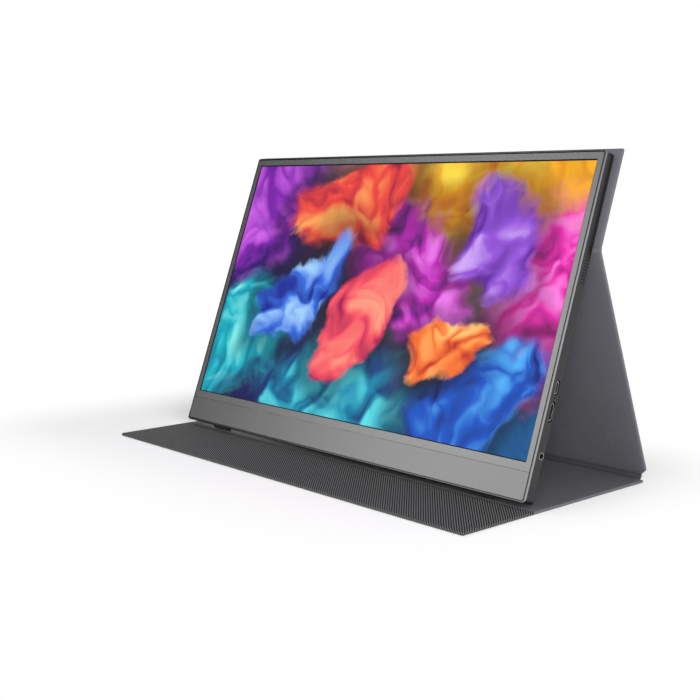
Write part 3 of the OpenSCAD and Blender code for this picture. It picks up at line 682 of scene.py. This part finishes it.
def makeCover():
    cloths, crease = cover["cloths"], cover["crease"]
    baseCloth = coverCloth("baseWeave", cloths["base"], cloths["rear"], crease["at"] * mm)
    legCloth = coverCloth("legWeave", cloths["leg"])
    cut = (size["heelInset"], size["heelCut"])
    legEnd = size["legL"] - size["stripL"] + cover["legPast"]
    panels = [
        ("base", "base", basePlace, 0, size["baseRear"] - size["baseFront"], None),
        ("leg", "leg", legPlace, cover["legStart"], legEnd, cut),
        ("panel", "upper_panel", upperPlace, size["coveLow"], size["panelTop"], None),
    ]
    for word, body, place, low, high, cutLow in panels:
        corners = panelCorners(low, high, cutLow)
        length = high - low
        outer = shell(f"{word}Cloth", corners, skinProfile(), place)
        line = crease if word == "base" else None
        inner = shell(f"{word}LiningCloth", corners, liningProfile(), place, line)
        for piece, node, slotName, extra in (
            (outer, f"{word}_skin", "cover_cloth", cover["turnIn"]),
            (inner, f"{word}_lining", "cover_lining", -cover["hem"]),
        ):
            dress(piece, baseCloth if word == "base" else legCloth)
            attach(piece, body)
            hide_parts(node)
            (size["coverW"] + 2 * extra) * mm
            (length + 2 * extra) * mm

    # the fold between the leg and the upper panel
    legRise = math.radians(size["legRise"])
    legUp = Vector((0, -math.cos(legRise), math.sin(legRise)))
    reach, tuck, steps = bend["foldReach"], bend["foldTuck"], bend["foldSteps"]
    start, end = fold - legUp * reach * mm, fold + monitorUp * reach * mm
    path = [tuple((start - legUp * tuck * mm).yz)]
    for k in range(steps + 1):  # a curve that leaves along the leg and comes in along the panel
        t = k / steps
        path.append(tuple((start * (1 - t) ** 2 + fold * 2 * t * (1 - t) + end * t ** 2).yz))
    path.append(tuple((end + monitorUp * tuck * mm).yz))
    strip = clothBand("foldCloth", path, size["coverW"] / 2, bend["foldT"])
    dress(strip, legCloth)
    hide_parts("fold_strip")
    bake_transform(strip)

    # the heel: a round bend from the base into the leg, in two parts that meet just below the toe
    centre = (heel.y, heel.z)
    radius = (size["heelR"] + bend["heelGap"]) * mm
    turn = math.radians(180 - size["legRise"])
    meeting = turn * bend["heelMeet"]
    lowSteps, highSteps = bend["heelSteps"]
    halfW = size["coverW"] / 2 - size["heelInset"]
    flatIn = [(heel.y - length * mm, heel.z - radius) for length in bend["heelFlat"]]
    lowPath = flatIn + arcPath(centre, radius, 0, meeting, lowSteps)
    highPath = arcPath(centre, radius, meeting, turn, highSteps)
    last = Vector(highPath[-1])
    legDir = Vector((legUp.y, legUp.z))
    highPath += [tuple(last + legDir * length * mm) for length in bend["toeFlat"]]
    low = clothBand("heelClothLow", lowPath, halfW, bend["heelT"])
    high = clothBand("heelClothHigh", highPath, halfW, bend["heelT"], 0.0133)
    # darker cloth on the heel bands, a painted shade in the fold
    heelCloth = coverCloth("heelWeavePaintedShade", cloths["heel"])
    for piece in (low, high):
        dress(piece, heelCloth)
    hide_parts("heel_skin")
    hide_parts("heel_lining")
    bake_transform(low)
    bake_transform(high)


def makeFinishes():
    looks = {
        "rear_housing": satinPaint("housingPaint", linear(62, 62, 63), 0.28, 1.2, Metallic=0.92),
        "front_bezel": satinPaint("bezelPaint", linear(94, 94, 94)),
        "chin_plate": satinPaint("chinPaint", linear(91, 91, 91)),
        "lcd_glass": screenGlass("screenPicture"),
        "bezel_gasket": mouldedPlastic("gasketFoam", (0.006, 0.006, 0.006), 0.85),
        "foam_pads": mouldedPlastic("padFoam", (0.02, 0.02, 0.02), 0.9),
        "optical_films": layeredFilm("diffuserFilm", (0.85, 0.85, 0.86), 0.3),
        "light_guide": layeredFilm("guideSheet", (0.8, 0.86, 0.9), 0.1),
        "reflector_sheet": layeredFilm("reflectorFilm", (0.9, 0.9, 0.9), 0.15, Metallic=0.6),
        "led_strip": layeredFilm("lampStrip", (0.85, 0.72, 0.3), 0.4),
        "panel_ribbons": layeredFilm("ribbonFilm", (0.62, 0.3, 0.06), 0.3),
        "display_cable": layeredFilm("cableFilm", (0.8, 0.79, 0.72), 0.45),
        "insulation_sheet": layeredFilm("insulationFilm", (0.015, 0.015, 0.015), 0.4),
        "panel_frame": brightMetal("panSteel", (0.5, 0.5, 0.5), 0.35, 3),
        "shield_can": brightMetal("canTin", (0.62, 0.61, 0.58), 0.28),
        "driver_board": circuitBoard("solderMask"),
        "board_parts": mouldedPlastic("chipPlastic", (0.015, 0.015, 0.016), 0.55),
        "mini_hdmi_port": socketMetal("socketNickel"),
        "headphone_jack": brightMetal("jackMetal", (0.32, 0.32, 0.32), 0.3),
        "status_light": mouldedPlastic("lightPipe", (0.75, 0.82, 0.88), 0.15),
        "button_switches": mouldedPlastic("switchPlastic", (0.25, 0.25, 0.25), 0.5),
        "speaker_right": mouldedPlastic("speakerPlastic", (0.012, 0.012, 0.012), 0.7),
        "speaker_leads": mouldedPlastic("leadPlastic", (0.3, 0.02, 0.02), 0.5),
        "board_screws": brightMetal("screwZinc", (0.6, 0.6, 0.6), 0.3),
        "housing_magnets": brightMetal("magnetNickel", (0.62, 0.62, 0.64), 0.22),
        "rubber_feet": mouldedPlastic("footRubber", (0.012, 0.012, 0.013), 0.8),
        "power_button": satinPaint("buttonPaint", linear(66), 0.3),
        "base_board": fibreBoard("stiffener"),
    }
    same = {
        "main_board": "driver_board", "side_board": "driver_board",
        "side_cable": "display_cable", "speaker_left": "speaker_right",
        "micro_usb_port": "mini_hdmi_port", "usb_c_port": "mini_hdmi_port",
        "cover_magnets": "housing_magnets", "menu_rocker": "power_button",
        "leg_board": "base_board", "panel_board": "base_board",
    }
    for node, material in looks.items():
        dress(nodes[node], material)
    for node, other in same.items():
        dress(nodes[node], looks[other])


fine = {  # rows of small parts on the monitor, in its own frame: x, height, out of the screen
    "wire": 0.14, "pitch": 0.5, "pin": 0.06, "round": 0.3,
    "meshes": [(176.48, 176.62), (-176.48, -176.62)],
    "meshL": 26, "meshW": 5.5, "meshAt": (150.5, -5.4),
    "pins": [  # first x, last x, height, out, count, pitch, width
        (170.2, 175.9, 57.6, -4.79, 10, 0.4, 0.22), (170.2, 175.9, 57.6, -5.31, 9, 0.4, 0.22),
        (172.2, 176.0, 72.8, -5.46, 5, 0.65, 0.35),
        (-176.3, -171.5, 44, -5.04, 12, 0.5, 0.25), (-176.3, -171.5, 44, -5.76, 12, 0.5, 0.25),
    ],
}


def makeFineRows():  # dust mesh behind the grilles and contacts in the sockets
    group = bpy.data.node_groups.new("fineRows", "GeometryNodeTree")
    face = group.interface
    face.new_socket("Geometry", in_out="INPUT", socket_type="NodeSocketGeometry")
    face.new_socket("Geometry", in_out="OUTPUT", socket_type="NodeSocketGeometry")
    names = {}
    for name, kind in (("Wire size", "Float"), ("Pin thickness", "Float"),
                       ("Wire material", "Material"), ("Pin material", "Material")):
        socket = face.new_socket(name, in_out="INPUT", socket_type=f"NodeSocket{kind}")
        names[name] = socket.identifier
    tree = Tree(group)
    entry = group.nodes.new("NodeGroupInput")
    given = {name: Socket(tree, entry.outputs[name]) for name in names}
    join = group.nodes.new("GeometryNodeJoinGeometry")

    def row(start, end, count, step, width, thick, contact=False):  # one bar, repeated along a line
        bar = tree.add("GeometryNodeCurvePrimitiveLine", {}, {
            "Start": (0, 0, 0), "End": tuple((end - start) * mm)})
        outline = tree.add("GeometryNodeCurvePrimitiveQuadrilateral", {}, {0: thick, 1: width})
        outline = tree.add("GeometryNodeFilletCurve", {}, {
            "Curve": outline, "Radius": thick * fine["round"]})
        solid = tree.add("GeometryNodeCurveToMesh", {}, {
            "Curve": bar, "Profile Curve": outline, "Fill Caps": True})
        stored = {"data_type": "BOOLEAN", "domain": "FACE"}
        solid = tree.add("GeometryNodeStoreNamedAttribute", stored, {
            "Geometry": solid, "Name": "contact", "Value": contact})
        first = start - step * (count - 1) / 2
        line = tree.add("GeometryNodeMeshLine", {}, {
            "Count": count, "Start Location": tuple(first * mm), "Offset": tuple(step * mm)})
        rows = tree.add("GeometryNodeInstanceOnPoints", {}, {"Points": line, "Instance": solid})
        group.links.new(rows.out, join.inputs[0])

    high, out = fine["meshAt"]
    halfL, halfW, pitch = fine["meshL"] / 2, fine["meshW"] / 2, fine["pitch"]
    wire = given["Wire size"]
    for near, far in fine["meshes"]:
        row(Vector((near, high - halfL, out)), Vector((near, high + halfL, out)),
            int(halfW * 2 / pitch) + 1, Vector((0, 0, pitch)), wire, wire)
        row(Vector((far, high, out - halfW)), Vector((far, high, out + halfW)),
            int(halfL * 2 / pitch) + 1, Vector((0, pitch, 0)), wire, wire)
    for x0, x1, h, y, count, step, width in fine["pins"]:
        row(Vector((x0, h, y)), Vector((x1, h, y)), count, Vector((0, step, 0)),
            width * mm, given["Pin thickness"], True)
    isContact = tree.add(
        "GeometryNodeInputNamedAttribute", {"data_type": "BOOLEAN"}, {"Name": "contact"})
    real = tree.add("GeometryNodeRealizeInstances", {}, {"Geometry": Socket(tree, join.outputs[0])})
    done = tree.add("GeometryNodeSetMaterial", {}, {
        "Geometry": real, "Material": given["Wire material"]})
    done = tree.add("GeometryNodeSetMaterial", {}, {
        "Geometry": done, "Selection": isContact, "Material": given["Pin material"]})
    leave = group.nodes.new("NodeGroupOutput")
    group.links.new(done.out, leave.inputs[0])

    source = addMesh("fineSource", [(0, 0, 0)], [])
    modifier = source.modifiers.new("rows", "NODES")
    modifier.node_group = group
    values = {
        "Wire size": fine["wire"] * mm, "Pin thickness": fine["pin"] * mm,
        "Wire material": mouldedPlastic("meshWire", (0.004, 0.004, 0.004), 0.6),
        "Pin material": brightMetal("contactGold", (0.78, 0.55, 0.22), 0.25),
    }
    for name, value in values.items():
        modifier[names[name]] = value
    depsgraph = bpy.context.evaluated_depsgraph_get()
    mesh = bpy.data.meshes.new_from_object(source.evaluated_get(depsgraph))
    bpy.data.objects.remove(source)
    mesh.transform(monitorPlace)
    mesh.name = "meshAndContacts"
    piece = bpy.data.objects.new("meshAndContacts", mesh)
    bpy.context.scene.collection.objects.link(piece)
    faceOutward(piece)
    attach(piece, "monitor")


view = {  # millimetres and degrees; focal length and centre in pixels, clip in metres
    "place": (612.8, -555.4, 192.8), "turn": 46.64, "rise": 6.19, "roll": 0.13,
    "focal": 1163.3, "centre": (386.2, 315.0), "pixels": 700, "sensor": 36, "clip": (0.01, 50),
}


def makeCamera():
    data = bpy.data.cameras.new("camera")
    pixels, centre = view["pixels"], view["centre"]
    data.sensor_width = view["sensor"]
    data.lens = view["focal"] / pixels * view["sensor"]
    data.shift_x = (pixels / 2 - centre[0]) / pixels
    data.shift_y = (centre[1] - pixels / 2) / pixels
    data.clip_start, data.clip_end = view["clip"]
    turn, rise, roll = (math.radians(view[k]) for k in ("turn", "rise", "roll"))
    level = math.cos(rise)
    back = Vector((math.sin(turn) * level, -math.cos(turn) * level, math.sin(rise)))
    right = Vector((math.cos(turn), math.sin(turn), 0))
    up = back.cross(right)
    rightRolled = right * math.cos(roll) + up * math.sin(roll)
    upRolled = up * math.cos(roll) - right * math.sin(roll)
    camera = bpy.data.objects.new("camera", data)
    place = Matrix((rightRolled, upRolled, back)).transposed().to_4x4()
    place.translation = Vector(view["place"]) * mm
    camera.matrix_world = place
    bpy.context.scene.collection.objects.link(camera)
    bpy.context.scene.camera = camera


def seenRay(tree):  # 1 for what the camera, a gloss or a clear surface sees
    path = {name: tree.add("ShaderNodeLightPath", {}, {}, name)
            for name in ("Is Camera Ray", "Is Glossy Ray", "Is Transmission Ray")}
    return path["Is Camera Ray"].high(path["Is Glossy Ray"]).high(path["Is Transmission Ray"])


aim = (0, 0, 0.08)
studio = {
    "floorRadius": 6.0, "floorDrop": 0.2 * mm, "floorColour": linear(250),
    "footprint": (0.18, 0.09), "fadeShift": 0.05, "fade": (0.0, 0.12), "world": 0.42,
    "lamps": [  # name, place, aim, width, height, radiance
        ("softLeft", (-1.0, -1.22, 0.56), aim, 0.6, 1.1, 3.75),
        ("softFront", (-0.2, -1.7, 0.98), aim, 1.3, 0.9, 0.8),
        ("softRight", (1.6, -1.0, 0.61), aim, 1.7, 1.1, 8.0),
        ("softTop", (0.15, 0.2, 1.78), aim, 1.8, 1.4, 0.6),
        ("gapLight", (-0.15, 0.002, 0.04), (-0.13, -0.014, 0), 0.06, 0.03, 4.5),
    ],
    "flags": [  # black cards beside the lamps: name, place from the aim, width, height
        ("flagLeft", (-1.42, -0.44, 0.40), 0.95, 0.9),
        ("flagBack", (-0.86, 0.56, 0.76), 1.1, 0.4),
    ],
    "flagRow": 17, "flagDish": 0.01,
}


def makeStudio():
    world = bpy.data.worlds.new("studio")
    world.use_nodes = True
    bpy.context.scene.world = world
    world.node_tree.nodes.clear()
    tree = Tree(world.node_tree)
    seen = seenRay(tree)
    out = world.node_tree.nodes.new("ShaderNodeOutputWorld")
    dim = tree.add("ShaderNodeBackground", {}, {"Color": (1, 1, 1, 1), "Strength": studio["world"]})
    white = tree.add("ShaderNodeBackground", {}, {"Color": (1, 1, 1, 1), "Strength": 1.0})
    shade = tree.add("ShaderNodeMixShader", {}, {0: seen, 1: dim, 2: white})
    world.node_tree.links.new(shade.out, out.inputs[0])

    work = bmesh.new()
    bmesh.ops.create_circle(work, cap_ends=True, radius=studio["floorRadius"], segments=96)
    mesh = bpy.data.meshes.new("floor")
    work.to_mesh(mesh)
    work.free()
    floor = bpy.data.objects.new("floor", mesh)
    bpy.context.scene.collection.objects.link(floor)
    floor.location.z = -studio["floorDrop"]
    finish = Finish("floorPaint", Roughness=0.9)
    place = finish.place()
    tone = finish.noise(place, 3, 2, 0.5).span(0.99, 1.01)
    finish.set("Base Color", finish.shaded(studio["floorColour"], tone))
    finish.set("Specular IOR Level", 0.1)
    x, y = abs(place.dot((1, 0, 0)) + studio["fadeShift"]), abs(place.dot((0, 1, 0)))
    halfX, halfY = studio["footprint"]
    away = finish.vector((x - halfX).high(0.0), (y - halfY).high(0.0)).length()
    glow = finish.add("ShaderNodeEmission", {}, {"Color": (1, 1, 1, 1), "Strength": 1.0})
    fade = away.step(*studio["fade"]) * seenRay(finish)
    both = finish.add("ShaderNodeMixShader", {}, {0: fade, 2: glow})
    finish.nodeTree.links.new(finish.shader.outputs[0], both.out.node.inputs[1])
    finish.nodeTree.links.new(both.out, finish.output.inputs[0])
    dress(floor, finish.material)

    black = Finish("flagCloth", Roughness=0.95)
    nap = black.noise(black.place(), 300, 2, 0.5)
    black.set("Base Color", black.mix(nap, (0.003, 0.003, 0.003), (0.006, 0.006, 0.006)))
    count, dish = studio["flagRow"], studio["flagDish"]
    steps = [k * 2 / (count - 1) - 1 for k in range(count)]
    faces = [(r * count + c, r * count + c + 1, (r + 1) * count + c + 1, (r + 1) * count + c)
             for r in range(count - 1) for c in range(count - 1)]
    for name, place, width, height in studio["flags"]:
        half = Vector((width / 2, height / 2))
        turn = Vector(place).to_track_quat("Z", "Y").to_matrix().to_4x4()
        turn.translation = Vector(aim) + Vector(place)
        verts = [turn @ Vector((half.x * i, half.y * j, dish * (i * i - 1)))
                 for j in steps for i in steps]
        card = addMesh(name, verts, faces)
        dress(card, black.material)
        card.visible_camera = False

    for name, place, target, width, height, radiance in studio["lamps"]:
        data = bpy.data.lights.new(name, "AREA")
        data.shape, data.size, data.size_y = "RECTANGLE", width, height
        data.energy = radiance * math.pi * width * height
        lamp = bpy.data.objects.new(name, data)
        lamp.location = Vector(place)
        back = Vector(place) - Vector(target)
        lamp.rotation_euler = back.to_track_quat("Z", "Y").to_euler()
        lamp.visible_camera = False
        bpy.context.scene.collection.objects.link(lamp)


makeCamera()
makeStudio()
print("camera and studio ready")
makeFinishes()
print("finishes on the monitor's parts")
makeFineRows()
print("mesh and contacts")
makeCover()
print("cover made")

bpy.context.scene.view_settings.view_transform = "Standard"
bpy.context.view_layer.update()
